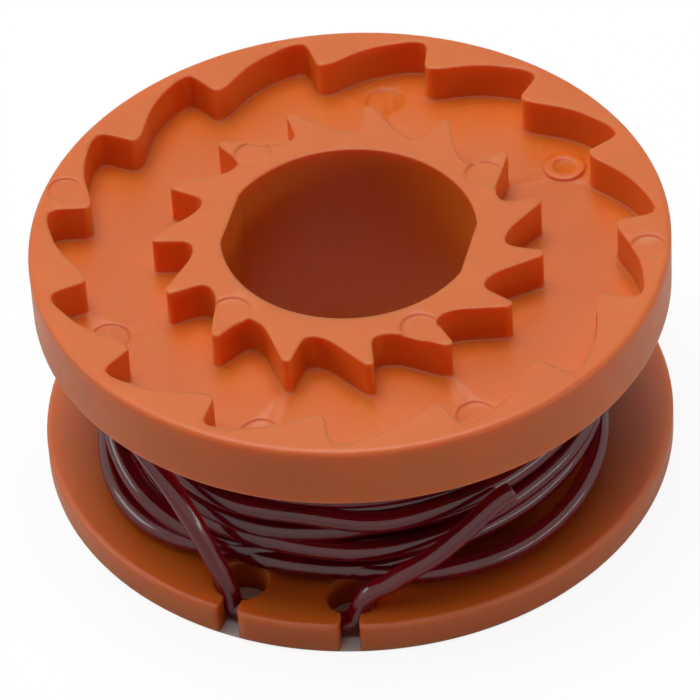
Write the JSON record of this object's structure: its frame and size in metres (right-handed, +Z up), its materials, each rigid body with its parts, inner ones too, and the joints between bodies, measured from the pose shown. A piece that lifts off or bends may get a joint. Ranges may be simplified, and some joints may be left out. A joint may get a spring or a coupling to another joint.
{
  "type": "trimmer line spool",
  "caption": "Garden trimmer line spool: flanges on a drum, ratchet tooth rings in a recess round a flatted bore, wound with red cutting line whose free end is tucked through rim slots.",
  "frame": {"origin": "on the bore axis at the lower face of the lower flange, which the spool stands on", "axes": "+Z up along the bore axis towards the ratchet rings; -Y towards the side with the line slots, a little left of it"},
  "size_m": [0.0522, 0.0522, 0.0219],
  "materials": {
    "orange_plastic": "satin moulded plastic, slightly translucent",
    "line_nylon": "glossy translucent wine-red nylon"
  },
  "bodies": {
    "root": {"spool_body": "orange_plastic", "trimmer_line": "line_nylon"}
  },
  "joints": []
}
